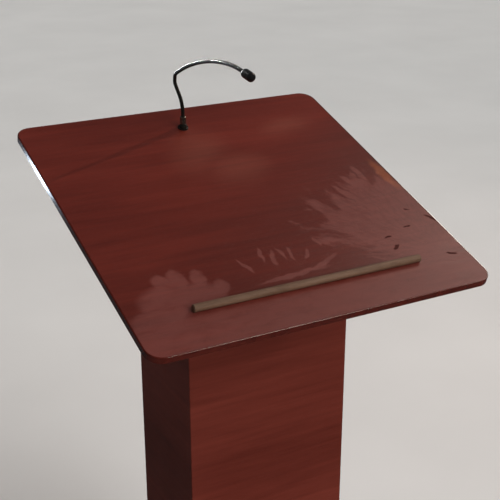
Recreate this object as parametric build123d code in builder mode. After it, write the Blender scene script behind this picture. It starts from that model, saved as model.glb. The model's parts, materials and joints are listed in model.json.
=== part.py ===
from build123d import *

import os
from math import cos, radians, sin

# A lectern podium: a sloped reading desk on a boxed wooden column and a flat base board, with a
# microphone on a flexible neck. Lengths are in millimetres. +Z is up, the speaker stands on the
# -Y side, and the origin is on the floor under the middle of the desk's outline.

# ---------------------------------------------------------------- driving dimensions
desk_width = 610.0
desk_depth = 622.0
desk_slope = 17.4
desk_front_height = 1000.0
core_thickness = 10.7
laminate_thickness = 0.7
corner_radius = 27.0

column_width = 309.0
column_depth = 212.0
column_setback = 202.0
panel_thickness = 18.0
eased_arris = 1.0

base_width = 500.0
base_depth = 450.0
base_core_thickness = 24.6
glide_height = 6.0

stop_distance = 78.0
stop_length = 411.0
stop_radius = 6.3
stop_flat = 1.0
stop_end_chamfer = 1.4

mic_offset = -5.0
mic_distance = 554.0
neck_radius = 3.5
capsule_radius = 8.0
capsule_length = 30.3

# ---------------------------------------------------------------- derived places
slope_cos = cos(radians(desk_slope))
slope_sin = sin(radians(desk_slope))

desk_thickness = core_thickness + 2 * laminate_thickness
desk_outline_run = desk_depth * slope_cos + desk_thickness * slope_sin
desk_front_y = -desk_outline_run / 2
desk_normal = Vector(0, -slope_sin, slope_cos)

# The desk's top face: local x is along the front edge, local y runs up the slope.
desk_plane = Plane(
    origin=(0, desk_front_y, desk_front_height), x_dir=(1, 0, 0), z_dir=desk_normal
)
core_top_plane = desk_plane.offset(-laminate_thickness)
core_bottom_plane = desk_plane.offset(-laminate_thickness - core_thickness)
desk_underside = desk_plane.offset(-desk_thickness)
top_plate_underside = desk_underside.offset(-panel_thickness)

column_y = desk_front_y + column_setback + column_depth / 2
column_top_limit = desk_front_height + desk_depth
inner_width = column_width - 2 * panel_thickness
inner_depth = column_depth - 2 * panel_thickness
column_distance = (column_setback + column_depth / 2) / slope_cos

base_core_bottom = glide_height
base_core_top = base_core_bottom + base_core_thickness
base_top = base_core_top + laminate_thickness
bottom_plate_top = base_top + panel_thickness

corners = {
    "front_left": (-1, -1),
    "front_right": (1, -1),
    "back_left": (-1, 1),
    "back_right": (1, 1),
}

os.makedirs("parts", exist_ok=True)


def save(builder, name):
    """Label the finished piece and write its STEP file."""
    builder.part.label = name
    export_step(builder.part, f"parts/{name}.step")


def facing(point, direction, x_dir=(1, 0, 0)):
    """A plane at a point, looking along a direction."""
    return Plane(origin=point, x_dir=x_dir, z_dir=direction)


# ---------------------------------------------------------------- fasteners
recess_depth = 1.1
recess_width = 0.9
recess_reach = 1.2
head_flare = 45
point_flare = 20


def countersunk_screws(name, drives, head_radius, shank_radius, length):
    """Wood screws, one for each plane: head flush with the plane, shank along its +Z.

    Returns the pockets that the screws fill, without the drivers' recesses.
    """
    point_length = 2 * shank_radius
    with BuildPart() as pocket:
        with BuildSketch():
            Circle(head_radius)
        extrude(amount=head_radius - shank_radius, taper=head_flare)
        with BuildSketch():
            Circle(shank_radius)
        extrude(amount=length - point_length)
        with BuildSketch(Plane.XY.offset(length - point_length)):
            Circle(shank_radius)
        extrude(amount=point_length, taper=point_flare)
    with BuildPart() as screw:
        add(pocket.part)
        with BuildSketch():
            Rectangle(recess_reach * head_radius, recess_width)
            Rectangle(recess_width, recess_reach * head_radius)
        extrude(amount=recess_depth, mode=Mode.SUBTRACT)
    with BuildPart() as pockets:
        with Locations(*drives):
            add(pocket.part)
    with BuildPart() as screws:
        with Locations(*drives):
            add(screw.part)
    save(screws, name)
    return pockets.part


# Desk to column: driven down through the core before the top laminate is glued over them.
desk_screw_spacing = (100.0, 120.0)
desk_screw_drives = [
    facing(core_top_plane.from_local_coords((x, column_distance + y, 0)), -desk_normal)
    for x in (-desk_screw_spacing[0], 0, desk_screw_spacing[0])
    for y in (-desk_screw_spacing[1] / 2, desk_screw_spacing[1] / 2)
]
desk_screw_pockets = countersunk_screws(
    "desk_fixing_screws", desk_screw_drives, head_radius=4.4, shank_radius=2.2, length=26
)

# Paper stop: driven up from the desk's underside.
stop_screw_drives = [
    facing(desk_underside.from_local_coords((x, stop_distance, 0)), desk_normal)
    for x in (-stop_length / 3, 0, stop_length / 3)
]
stop_screw_pockets = countersunk_screws(
    "paper_stop_screws", stop_screw_drives, head_radius=3.6, shank_radius=1.8, length=20
)

# Column plates to the ends of the corner cleats.
cleat_side = 25.0
cleat_x = inner_width / 2 - cleat_side / 2
cleat_y = inner_depth / 2 - cleat_side / 2
plate_screw_length = 45.0
# A screw square to the sloped plate drifts sideways, so it starts off the cleat's centre line.
screw_drift = (panel_thickness + plate_screw_length) / 2 * slope_sin
top_screw_drives = [
    facing(
        desk_underside.from_local_coords(
            (side_x * cleat_x, column_distance + side_y * cleat_y / slope_cos - screw_drift, 0)
        ),
        -desk_normal,
    )
    for side_x, side_y in corners.values()
]
top_screw_pockets = countersunk_screws(
    "top_plate_screws", top_screw_drives, head_radius=4.0, shank_radius=2.0,
    length=plate_screw_length,
)
bottom_screw_drives = [
    facing((side_x * cleat_x, column_y + side_y * cleat_y, base_top), (0, 0, 1))
    for side_x, side_y in corners.values()
]
bottom_screw_pockets = countersunk_screws(
    "bottom_plate_screws", bottom_screw_drives, head_radius=4.0, shank_radius=2.0,
    length=plate_screw_length,
)

# Cleats to panels, from inside the column: one screw each way at three heights.
cleat_screw_heights = (150.0, 500.0, 850.0)
cleat_screw_stagger = 40.0
cleat_screw_drives = []
for side_x, side_y in corners.values():
    for height in cleat_screw_heights:
        cleat_centre = Vector(side_x * cleat_x, column_y + side_y * cleat_y, height)
        cleat_screw_drives.append(
            facing(
                cleat_centre - Vector(side_x * cleat_side / 2, 0, 0),
                (side_x, 0, 0),
                x_dir=(0, 1, 0),
            )
        )
        cleat_screw_drives.append(
            facing(
                cleat_centre + Vector(0, -side_y * cleat_side / 2, cleat_screw_stagger),
                (0, side_y, 0),
            )
        )
cleat_screw_pockets = countersunk_screws(
    "cleat_screws", cleat_screw_drives, head_radius=4.0, shank_radius=2.0, length=36
)

# ---------------------------------------------------------------- edge bands
band_face = 2.0
band_tongue_depth = 8.0
band_tongue_thickness = 1.6
band_outer_round = 1.2
band_inner_bevel = 0.4


def edge_band(name, bottom_plane, width, depth, thickness):
    """A moulded strip round a board, with a tongue that sits in a groove in the board's edge."""
    with BuildPart() as band:
        with BuildSketch(bottom_plane):
            RectangleRounded(width, depth, corner_radius)
            RectangleRounded(
                width - 2 * band_face,
                depth - 2 * band_face,
                corner_radius - band_face,
                mode=Mode.SUBTRACT,
            )
        extrude(amount=thickness)
        up = Axis(bottom_plane.origin, bottom_plane.z_dir)
        rims = band.faces().filter_by(up).sort_by(up)
        outer_edges = rims[0].outer_wire().edges() + rims[-1].outer_wire().edges()
        fillet(outer_edges, band_outer_round)
        top_rim = band.faces().filter_by(up).sort_by(up)[-1]
        chamfer(top_rim.inner_wires()[0].edges(), band_inner_bevel)
        with BuildSketch(bottom_plane.offset(thickness / 2)):
            RectangleRounded(
                width - 2 * band_face, depth - 2 * band_face, corner_radius - band_face
            )
            tongue_inset = band_face + band_tongue_depth
            RectangleRounded(
                width - 2 * tongue_inset,
                depth - 2 * tongue_inset,
                corner_radius - tongue_inset,
                mode=Mode.SUBTRACT,
            )
        extrude(amount=band_tongue_thickness / 2, both=True)
    save(band, name)
    return band.part


desk_centre = desk_plane.from_local_coords((0, desk_depth / 2, 0))
desk_sheet_plane = Plane(origin=desk_centre, x_dir=(1, 0, 0), z_dir=desk_normal)
desk_band = edge_band(
    "desk_edge_band",
    desk_sheet_plane.offset(-desk_thickness),
    desk_width,
    desk_depth,
    desk_thickness,
)

base_sheet_plane = Plane(origin=(0, column_y, base_top))
base_band = edge_band(
    "base_edge_band",
    base_sheet_plane.offset(-laminate_thickness - base_core_thickness),
    base_width,
    base_depth,
    base_core_thickness + laminate_thickness,
)


def sheet_outline(width, depth):
    """The outline of a board or laminate inside its edge band."""
    RectangleRounded(width - 2 * band_face, depth - 2 * band_face, corner_radius - band_face)


# ---------------------------------------------------------------- microphone fixing
mic_shank_radius = 7.9
mic_shank_length = desk_thickness + 16.0
desk_hole_radius = 8.2
gasket_radius = 9.8
gasket_thickness = 1.0
flange_top = 3.2
flange_round = 1.2
dome_radius = 7.5

mic_point = desk_plane.from_local_coords((mic_offset, mic_distance, 0))
mic_plane = Plane(origin=mic_point, x_dir=(1, 0, 0), z_dir=desk_normal)
mic_axis = Axis(mic_point, desk_normal)
# Section plane through the mount: local x is across the desk, local y is along its normal.
mic_section = Plane(origin=mic_point, x_dir=(1, 0, 0), z_dir=-desk_plane.y_dir)
dome_centre = mic_plane.from_local_coords((0, 0, flange_top))

# ---------------------------------------------------------------- desk
with BuildPart() as paper_stop:
    stop_plane = Plane(
        origin=desk_plane.from_local_coords((0, stop_distance, stop_radius - stop_flat)),
        x_dir=desk_plane.y_dir,
        z_dir=(1, 0, 0),
    )
    with BuildSketch(stop_plane):
        Circle(stop_radius)
    extrude(amount=stop_length / 2, both=True)
    chamfer(paper_stop.edges().filter_by(GeomType.CIRCLE), stop_end_chamfer)
    split(bisect_by=desk_plane, keep=Keep.TOP)
    add(stop_screw_pockets, mode=Mode.SUBTRACT)
save(paper_stop, "paper_stop")

with BuildPart() as desk_top_laminate:
    with BuildSketch(desk_sheet_plane.offset(-laminate_thickness)):
        sheet_outline(desk_width, desk_depth)
    extrude(amount=laminate_thickness)
    top_face = desk_top_laminate.faces().sort_by(Axis(desk_centre, desk_normal))[-1]
    chamfer(top_face.outer_wire().edges(), band_inner_bevel)
    add(stop_screw_pockets, mode=Mode.SUBTRACT)
    with Locations(mic_plane):
        Hole(desk_hole_radius, depth=desk_thickness)
save(desk_top_laminate, "desk_top_laminate")

with BuildPart() as desk_core:
    with BuildSketch(desk_sheet_plane.offset(-laminate_thickness - core_thickness)):
        sheet_outline(desk_width, desk_depth)
    extrude(amount=core_thickness)
    add(desk_band, mode=Mode.SUBTRACT)
    add(desk_screw_pockets, mode=Mode.SUBTRACT)
    add(stop_screw_pockets, mode=Mode.SUBTRACT)
    with Locations(mic_plane):
        Hole(desk_hole_radius, depth=2 * desk_thickness)
save(desk_core, "desk_core")

with BuildPart() as desk_backing_laminate:
    with BuildSketch(desk_sheet_plane.offset(-desk_thickness)):
        sheet_outline(desk_width, desk_depth)
    extrude(amount=laminate_thickness)
    add(desk_screw_pockets, mode=Mode.SUBTRACT)
    add(stop_screw_pockets, mode=Mode.SUBTRACT)
    with Locations(mic_plane):
        Hole(desk_hole_radius, depth=2 * desk_thickness)
save(desk_backing_laminate, "desk_backing_laminate")

# ---------------------------------------------------------------- column
grommet_body_radius = 14.0
grommet_bore_radius = 10.0
grommet_flange_radius = 17.5
grommet_flange_thickness = 1.6
grommet_flange_round = 0.5
grommet_heights = {"upper_cable_grommet": 1040.0, "lower_cable_grommet": 110.0}
column_back_y = column_y + column_depth / 2
grommet_planes = {
    name: facing((0, column_back_y, height), (0, 1, 0))
    for name, height in grommet_heights.items()
}

# Each panel's outward side is its plan plane's -Y.
panel_plans = {
    "column_front_panel": ((1, 0, 0), column_width, column_depth),
    "column_right_panel": ((0, 1, 0), column_depth, column_width),
    "column_back_panel": ((-1, 0, 0), column_width, column_depth),
    "column_left_panel": ((0, -1, 0), column_depth, column_width),
}


def mitred_plan(span, offset):
    """Plan outline of a panel mitred at both ends, with its two outer arrises eased."""
    tip = span / 2
    half = [
        (tip - eased_arris, -offset),
        (tip - eased_arris / 2, -offset + eased_arris / 2),
        (tip - panel_thickness, -offset + panel_thickness),
    ]
    return half + [(-x, y) for x, y in reversed(half)]


for name, (x_dir, span, opposite_span) in panel_plans.items():
    with BuildPart() as panel:
        with BuildSketch(facing((0, column_y, base_top), (0, 0, 1), x_dir)):
            with BuildLine():
                Polyline(*mitred_plan(span, opposite_span / 2), close=True)
            make_face()
        extrude(amount=column_top_limit)
        split(bisect_by=desk_underside, keep=Keep.BOTTOM)
        add(cleat_screw_pockets, mode=Mode.SUBTRACT)
        if name == "column_back_panel":
            with Locations(*grommet_planes.values()):
                Hole(grommet_body_radius, depth=panel_thickness)
    save(panel, name)

for name, grommet_plane in grommet_planes.items():
    with BuildPart() as grommet:
        with BuildSketch(grommet_plane.offset(-panel_thickness - grommet_flange_thickness)):
            Circle(grommet_flange_radius)
        extrude(amount=grommet_flange_thickness)
        with BuildSketch(grommet_plane.offset(-panel_thickness)):
            Circle(grommet_body_radius)
        extrude(amount=panel_thickness)
        with BuildSketch(grommet_plane):
            Circle(grommet_flange_radius)
        extrude(amount=grommet_flange_thickness)
        with Locations(grommet_plane.offset(grommet_flange_thickness)):
            Hole(grommet_bore_radius)
        circles = grommet.edges().filter_by(GeomType.CIRCLE)
        flange_rims = circles.filter_by(lambda rim: rim.radius > grommet_body_radius + 1)
        fillet(flange_rims, grommet_flange_round)
    save(grommet, name)

with BuildPart() as column_top_plate:
    with BuildSketch(desk_underside):
        with Locations((0, column_distance)):
            Rectangle(2 * column_width, 2 * column_depth)
    extrude(amount=-panel_thickness)
    with BuildSketch(Plane(origin=(0, column_y, 0))):
        Rectangle(inner_width, inner_depth)
    extrude(amount=column_top_limit, mode=Mode.INTERSECT)
    add(desk_screw_pockets, mode=Mode.SUBTRACT)
    add(top_screw_pockets, mode=Mode.SUBTRACT)
save(column_top_plate, "column_top_plate")

for name, (side_x, side_y) in corners.items():
    with BuildPart() as cleat:
        with BuildSketch(Plane(origin=(0, column_y, bottom_plate_top))):
            with Locations((side_x * cleat_x, side_y * cleat_y)):
                Rectangle(cleat_side, cleat_side)
        extrude(amount=column_top_limit)
        split(bisect_by=top_plate_underside, keep=Keep.BOTTOM)
        add(cleat_screw_pockets, mode=Mode.SUBTRACT)
        add(top_screw_pockets, mode=Mode.SUBTRACT)
        add(bottom_screw_pockets, mode=Mode.SUBTRACT)
    save(cleat, f"corner_cleat_{name}")

# ---------------------------------------------------------------- base and its bolts
bolt_spacing = (170.0, 90.0)
bolt_radius = 4.0
bolt_head_radius = 7.0
bolt_head_height = 4.4
bolt_head_round = 2.0
bolt_stand_out = 3.0
bolt_end = bottom_plate_top + bolt_stand_out
washer_radius = 8.5
washer_thickness = 1.6
counterbore_radius = 9.5
counterbore_depth = 8.0
tee_nut_barrel_radius = 5.2
tee_nut_barrel_length = 9.0
tee_nut_flange_radius = 11.0
tee_nut_flange_thickness = 1.5
hex_key_width = 5.0
hex_key_depth = 2.6

counterbore_floor = Plane(origin=(0, column_y, base_core_bottom + counterbore_depth))
washer_face = counterbore_floor.offset(-washer_thickness)
bolt_head_face = washer_face.offset(-bolt_head_height)

with BuildPart() as base_bolts:
    with BuildSketch(bolt_head_face):
        with GridLocations(*bolt_spacing, 2, 2):
            Circle(bolt_head_radius)
    extrude(amount=bolt_head_height)
    fillet(base_bolts.faces().sort_by(Axis.Z)[:4].edges(), bolt_head_round)
    with BuildSketch(washer_face):
        with GridLocations(*bolt_spacing, 2, 2):
            Circle(bolt_radius)
    extrude(amount=bolt_end - washer_face.origin.Z)
    with BuildSketch(bolt_head_face):
        with GridLocations(*bolt_spacing, 2, 2):
            RegularPolygon(hex_key_width / 2, 6, major_radius=False)
    extrude(amount=hex_key_depth, mode=Mode.SUBTRACT)
save(base_bolts, "base_bolts")

with BuildPart() as base_washers:
    with BuildSketch(washer_face):
        with GridLocations(*bolt_spacing, 2, 2):
            Circle(washer_radius)
            Circle(bolt_radius, mode=Mode.SUBTRACT)
    extrude(amount=washer_thickness)
save(base_washers, "base_washers")

with BuildPart() as base_tee_nuts:
    with BuildSketch(Plane(origin=(0, column_y, bottom_plate_top))):
        with GridLocations(*bolt_spacing, 2, 2):
            Circle(tee_nut_flange_radius)
            Circle(bolt_radius, mode=Mode.SUBTRACT)
    extrude(amount=tee_nut_flange_thickness)
    with BuildSketch(Plane(origin=(0, column_y, bottom_plate_top - tee_nut_barrel_length))):
        with GridLocations(*bolt_spacing, 2, 2):
            Circle(tee_nut_barrel_radius)
            Circle(bolt_radius, mode=Mode.SUBTRACT)
    extrude(amount=tee_nut_barrel_length)
save(base_tee_nuts, "base_tee_nuts")

with BuildPart() as column_bottom_plate:
    with BuildSketch(Plane(origin=(0, column_y, base_top))):
        Rectangle(inner_width, inner_depth)
    extrude(amount=panel_thickness)
    with Locations(Plane(origin=(0, column_y, bottom_plate_top))):
        with GridLocations(*bolt_spacing, 2, 2):
            CounterBoreHole(
                bolt_radius, tee_nut_barrel_radius, tee_nut_barrel_length, panel_thickness
            )
    add(bottom_screw_pockets, mode=Mode.SUBTRACT)
save(column_bottom_plate, "column_bottom_plate")

glide_radius = 15.0
glide_inset = 45.0
glide_recess_radius = 5.5
glide_recess_depth = 3.0
glide_rim_round = 2.0
glide_points = {
    name: Vector(
        side_x * (base_width / 2 - glide_inset),
        column_y + side_y * (base_depth / 2 - glide_inset),
        0,
    )
    for name, (side_x, side_y) in corners.items()
}
glide_recess_floor = Vector(0, 0, glide_recess_depth)
glide_screw_drives = [
    facing(point + glide_recess_floor, (0, 0, 1)) for point in glide_points.values()
]
glide_screw_pockets = countersunk_screws(
    "glide_screws", glide_screw_drives, head_radius=4.0, shank_radius=2.0, length=19
)

for name, point in glide_points.items():
    with BuildPart() as glide:
        with BuildSketch(Plane(origin=point)):
            Circle(glide_radius)
            Circle(glide_recess_radius, mode=Mode.SUBTRACT)
        extrude(amount=glide_height)
        with BuildSketch(Plane(origin=point + glide_recess_floor)):
            Circle(glide_recess_radius)
        extrude(amount=glide_height - glide_recess_depth)
        floor_circles = glide.edges().filter_by(GeomType.CIRCLE).group_by(Axis.Z)[0]
        fillet(floor_circles.sort_by(SortBy.LENGTH)[-1], glide_rim_round)
        add(glide_screw_pockets, mode=Mode.SUBTRACT)
    save(glide, f"glide_{name}")

with BuildPart() as base_core:
    with BuildSketch(Plane(origin=(0, column_y, base_core_bottom))):
        sheet_outline(base_width, base_depth)
    extrude(amount=base_core_thickness)
    add(base_band, mode=Mode.SUBTRACT)
    add(glide_screw_pockets, mode=Mode.SUBTRACT)
    with Locations(facing((0, column_y, base_core_bottom), (0, 0, -1))):
        with GridLocations(*bolt_spacing, 2, 2):
            CounterBoreHole(
                bolt_radius, counterbore_radius, counterbore_depth, base_core_thickness
            )
save(base_core, "base_core")

with BuildPart() as base_top_laminate:
    with BuildSketch(Plane(origin=(0, column_y, base_core_top))):
        sheet_outline(base_width, base_depth)
    extrude(amount=laminate_thickness)
    chamfer(
        base_top_laminate.faces().sort_by(Axis.Z)[-1].outer_wire().edges(), band_inner_bevel
    )
    with Locations(Plane(origin=(0, column_y, base_top))):
        with GridLocations(*bolt_spacing, 2, 2):
            Hole(bolt_radius, depth=laminate_thickness)
save(base_top_laminate, "base_top_laminate")

# ---------------------------------------------------------------- microphone mount
insert_radius = 6.6
insert_setback = 2.0
insert_top = -desk_thickness - insert_setback
insert_thickness = 6.0
wire_bore_radius = 1.4
thread_pitch = 1.5
thread_depth = 0.6
thread_overcut = 0.2
thread_setback = 1.0
thread_start = -desk_thickness - thread_setback
spigot_depth = 6.0
spigot_clearance = 0.06

with BuildPart() as mic_gasket:
    with BuildSketch(mic_plane):
        Circle(gasket_radius)
        Circle(mic_shank_radius, mode=Mode.SUBTRACT)
    extrude(amount=gasket_thickness)
save(mic_gasket, "mic_gasket")

with BuildPart() as mic_flange:
    with BuildSketch(mic_plane.offset(gasket_thickness)):
        Circle(gasket_radius)
    extrude(amount=flange_top - gasket_thickness)
    fillet(mic_flange.faces().sort_by(mic_axis)[-1].edges(), flange_round)
    with Locations(dome_centre):
        Sphere(dome_radius)
    split(bisect_by=mic_plane.offset(gasket_thickness), keep=Keep.TOP)
    with BuildSketch(mic_plane.offset(gasket_thickness)):
        Circle(mic_shank_radius)
    extrude(amount=-gasket_thickness - mic_shank_length)
    with BuildSketch(mic_section):
        thread_count = int((mic_shank_length + thread_start) / thread_pitch)
        for turn in range(thread_count):
            groove_height = thread_start - (turn + 0.5) * thread_pitch
            with BuildLine():
                Polyline(
                    (mic_shank_radius - thread_depth, groove_height),
                    (mic_shank_radius + thread_overcut, groove_height + thread_depth),
                    (mic_shank_radius + thread_overcut, groove_height - thread_depth),
                    close=True,
                )
            make_face()
    revolve(axis=mic_axis, mode=Mode.SUBTRACT)
    with BuildSketch(mic_plane.offset(-mic_shank_length)):
        Circle(insert_radius)
    extrude(amount=mic_shank_length + insert_top, mode=Mode.SUBTRACT)
    with BuildSketch(mic_plane.offset(insert_top)):
        Circle(wire_bore_radius)
    extrude(amount=flange_top - insert_top, mode=Mode.SUBTRACT)
    with BuildSketch(Plane(origin=dome_centre + Vector(0, 0, dome_radius - spigot_depth))):
        Circle(neck_radius + spigot_clearance)
    extrude(amount=2 * spigot_depth, mode=Mode.SUBTRACT)
    with BuildSketch(Plane(origin=dome_centre)):
        Circle(wire_bore_radius)
    extrude(amount=dome_radius, mode=Mode.SUBTRACT)
save(mic_flange, "mic_flange")

mic_washer_radius = 12.5
mic_washer_thickness = 1.2
mic_washer_clearance = 0.3
mic_nut_width = 22.0
mic_nut_corner_radius = 11.9
mic_nut_thickness = 6.0
mic_washer_plane = mic_plane.offset(-desk_thickness - mic_washer_thickness)
mic_nut_plane = mic_washer_plane.offset(-mic_nut_thickness)

with BuildPart() as mic_washer:
    with BuildSketch(mic_washer_plane):
        Circle(mic_washer_radius)
        Circle(mic_shank_radius + mic_washer_clearance, mode=Mode.SUBTRACT)
    extrude(amount=mic_washer_thickness)
save(mic_washer, "mic_washer")

with BuildPart() as mic_nut:
    with BuildSketch(mic_nut_plane):
        RegularPolygon(mic_nut_width / 2, 6, major_radius=False)
        Circle(mic_nut_corner_radius, mode=Mode.INTERSECT)
    extrude(amount=mic_nut_thickness)
    with Locations(mic_washer_plane):
        Hole(mic_shank_radius, depth=2 * mic_nut_thickness)
save(mic_nut, "mic_nut")

pin_circle_radius = 3.3
pin_radius = 0.8
pin_length = 12.0
pin_stand_out = 7.0

with BuildPart() as connector_pins:
    with BuildSketch(mic_plane.offset(insert_top - insert_thickness - pin_stand_out)):
        with PolarLocations(pin_circle_radius, 3):
            Circle(pin_radius)
    extrude(amount=pin_length)
save(connector_pins, "connector_pins")

with BuildPart() as connector_insert:
    with BuildSketch(mic_plane.offset(insert_top - insert_thickness)):
        Circle(insert_radius)
    extrude(amount=insert_thickness)
    add(connector_pins.part, mode=Mode.SUBTRACT)
save(connector_insert, "connector_insert")

collar_radius = 5.8
collar_gap = 0.35
collar_top = 19.4
collar_chamfer = 1.0
collar_plain_band = 3.0
knurl_count = 24
knurl_radius = 0.4

with BuildPart() as mic_collar:
    with BuildSketch(Plane(origin=dome_centre)):
        Circle(collar_radius)
    extrude(amount=collar_top)
    chamfer(mic_collar.faces().sort_by(Axis.Z)[-1].edges(), collar_chamfer)
    with BuildSketch(Plane(origin=dome_centre)):
        with PolarLocations(collar_radius, knurl_count):
            Circle(knurl_radius)
    extrude(amount=collar_top - collar_plain_band, mode=Mode.SUBTRACT)
    with Locations(dome_centre):
        Sphere(dome_radius + collar_gap, mode=Mode.SUBTRACT)
    with BuildSketch(Plane(origin=dome_centre)):
        Circle(neck_radius)
    extrude(amount=collar_top, mode=Mode.SUBTRACT)
save(mic_collar, "mic_collar")

# ---------------------------------------------------------------- flexible neck
stub_top = 27.3
lower_bend_radius = 30.0
lower_bend_turn = 45.0
lean_length = 26.0
upper_bend_radius = 10.0
upper_bend_turn = 108.0
span_radius = 500.0
span_turn = 11.0
tip_radius = 286.0
tip_turn = 13.1

joint_run = 6.0
ball_radius = 2.0
socket_radius = 2.25
ball_stem_radius = 1.0
socket_lip = 0.3

# The neck lies in one upright plane: local x points away from the speaker, local y is up.
neck_plane = Plane(origin=dome_centre, x_dir=(0, 1, 0), z_dir=(1, 0, 0))


def onward(previous, length):
    """A straight run that carries on from the end of the previous stretch."""
    return Line(previous @ 1, previous @ 1 + (previous % 1) * length)


def bend(previous, radius, turn):
    """An arc that carries on from the previous stretch; positive turns lean to the speaker."""
    return JernArc(previous @ 1, previous % 1, radius, turn)


with BuildLine(neck_plane) as neck_route:
    stub_run = Line((0, dome_radius - spigot_depth), (0, stub_top))
    lower_bend_in = bend(stub_run, lower_bend_radius, -lower_bend_turn / 2)
    lower_joint = onward(lower_bend_in, joint_run)
    lower_bend_out = bend(lower_joint, lower_bend_radius, -lower_bend_turn / 2)
    lean_run = onward(lower_bend_out, lean_length)
    upper_bend_in = bend(lean_run, upper_bend_radius, upper_bend_turn / 2)
    upper_joint = onward(upper_bend_in, joint_run)
    upper_bend_out = bend(upper_joint, upper_bend_radius, upper_bend_turn / 2)
    rear_span = bend(upper_bend_out, span_radius, span_turn)
    rear_joint = onward(rear_span, joint_run)
    front_span = bend(rear_joint, span_radius, span_turn)
    front_joint = onward(front_span, joint_run)
    tip_span = bend(front_joint, tip_radius, tip_turn)
    capsule_joint = onward(tip_span, joint_run)


def along(stretch, position):
    """A plane square to a stretch of the neck, looking along it."""
    return Plane(origin=stretch @ position, x_dir=(1, 0, 0), z_dir=stretch % position)


def socket_end(joint):
    """A cup round the joint's centre, from which the next link carries on."""
    with BuildPart() as cup:
        with BuildSketch(along(joint, 0.5).offset(-socket_lip)):
            Circle(neck_radius)
        extrude(amount=joint_run / 2 + socket_lip)
        with Locations(joint @ 0.5):
            Sphere(socket_radius, mode=Mode.SUBTRACT)
    return cup.part


def ball_end(joint):
    """A ball at the joint's centre, on a thin stem from the link before it."""
    with BuildPart() as ball:
        with BuildSketch(along(joint, 0)):
            Circle(ball_stem_radius)
        extrude(amount=joint_run / 2)
        with Locations(joint @ 0.5):
            Sphere(ball_radius)
    return ball.part


# Each link: its stretches, then the ends that join it to its neighbours.
neck_links = {
    "neck_stub": ([stub_run, lower_bend_in], [ball_end(lower_joint)]),
    "neck_lower_link": (
        [lower_bend_out, lean_run, upper_bend_in],
        [socket_end(lower_joint), ball_end(upper_joint)],
    ),
    "neck_rear_link": (
        [upper_bend_out, rear_span],
        [socket_end(upper_joint), ball_end(rear_joint)],
    ),
    "neck_front_link": ([front_span], [socket_end(rear_joint), ball_end(front_joint)]),
    "neck_tip_link": ([tip_span], [socket_end(front_joint), ball_end(capsule_joint)]),
}
for name, (stretches, ends) in neck_links.items():
    with BuildPart() as link:
        with BuildLine():
            add(stretches)
        with BuildSketch(along(stretches[0], 0)):
            Circle(neck_radius)
        sweep()
        add(ends)
    save(link, name)

# ---------------------------------------------------------------- capsule
# Section plane: local x runs along the capsule from the joint's centre, local y is its radius.
capsule_direction = capsule_joint % 1
capsule_origin = capsule_joint @ 0.5
capsule_plane = Plane(origin=capsule_origin, x_dir=capsule_direction, z_dir=(1, 0, 0))
capsule_axis = Axis(capsule_origin, capsule_direction)
capsule_start = joint_run / 2
capsule_end = capsule_start + capsule_length
shell_thickness = 0.9
tail_length = 6.0
housing_length = 14.0
grille_start = capsule_start + housing_length
grille_spigot = 4.0
nose_length = 7.0
nose_start = capsule_end - nose_length
cavity_start = capsule_start + tail_length
foam_thickness = 1.0
element_length = 7.0
element_setback = 1.0
slot_count = 12
slot_width = 1.2
slot_length = 6.5
slot_setback = 2.0


def nosed_section(start, end, radius):
    """Half section of a rod that starts square and ends in a rounded nose."""
    with BuildSketch(capsule_plane) as section:
        with BuildLine():
            Polyline((end, 0), (start, 0), (start, radius), (nose_start, radius))
            EllipticalCenterArc(
                (nose_start, 0), end - nose_start, radius, start_angle=0, arc_size=90
            )
        make_face()
    return section.sketch


capsule_cross = along(capsule_joint, 0.5)
bore_radius = capsule_radius - 2 * shell_thickness
foam_radius = bore_radius - shell_thickness
foam_end = capsule_end - shell_thickness
housing_socket = socket_end(capsule_joint)

with BuildPart() as capsule_housing:
    with BuildSketch(capsule_plane):
        with BuildLine():
            EllipticalCenterArc(
                (cavity_start, neck_radius),
                tail_length,
                capsule_radius - neck_radius,
                start_angle=90,
                arc_size=90,
            )
            Polyline(
                (capsule_start, neck_radius),
                (capsule_start, 0),
                (grille_start, 0),
                (grille_start, capsule_radius),
                (cavity_start, capsule_radius),
            )
        make_face()
    revolve(axis=capsule_axis)
    with BuildSketch(capsule_cross.offset(cavity_start)):
        Circle(bore_radius)
    extrude(amount=grille_start - cavity_start, mode=Mode.SUBTRACT)
    add(housing_socket)
save(capsule_housing, "capsule_housing")

grille_outside = nosed_section(grille_start, capsule_end, capsule_radius)
grille_inside = nosed_section(grille_start - grille_spigot, foam_end, foam_radius)
foam_outside = nosed_section(grille_start, foam_end, foam_radius)
foam_inside = nosed_section(
    grille_start, foam_end - foam_thickness, foam_radius - foam_thickness
)

with BuildPart() as capsule_grille:
    revolve(grille_outside, axis=capsule_axis)
    with BuildSketch(capsule_cross.offset(grille_start - grille_spigot)):
        Circle(bore_radius)
    extrude(amount=grille_spigot)
    revolve(grille_inside, axis=capsule_axis, mode=Mode.SUBTRACT)
    with BuildSketch(capsule_cross.offset(grille_start + slot_setback)):
        with PolarLocations(capsule_radius, slot_count):
            Rectangle(capsule_radius, slot_width)
    extrude(amount=slot_length, mode=Mode.SUBTRACT)
save(capsule_grille, "capsule_grille")

with BuildPart() as grille_foam:
    revolve(foam_outside, axis=capsule_axis)
    revolve(foam_inside, axis=capsule_axis, mode=Mode.SUBTRACT)
save(grille_foam, "grille_foam")

with BuildPart() as capsule_element:
    with BuildSketch(capsule_cross.offset(grille_start + element_setback)):
        Circle(foam_radius - foam_thickness)
    extrude(amount=element_length)
save(capsule_element, "capsule_element")

for label, joint in {
    "neck_swivel": stub_run,
    "lower_bend": lower_joint,
    "upper_bend": upper_joint,
    "rear_bend": rear_joint,
    "front_bend": front_joint,
    "capsule_tilt": capsule_joint,
}.items():
    print(label, "centre", joint @ 0.5)
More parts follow.
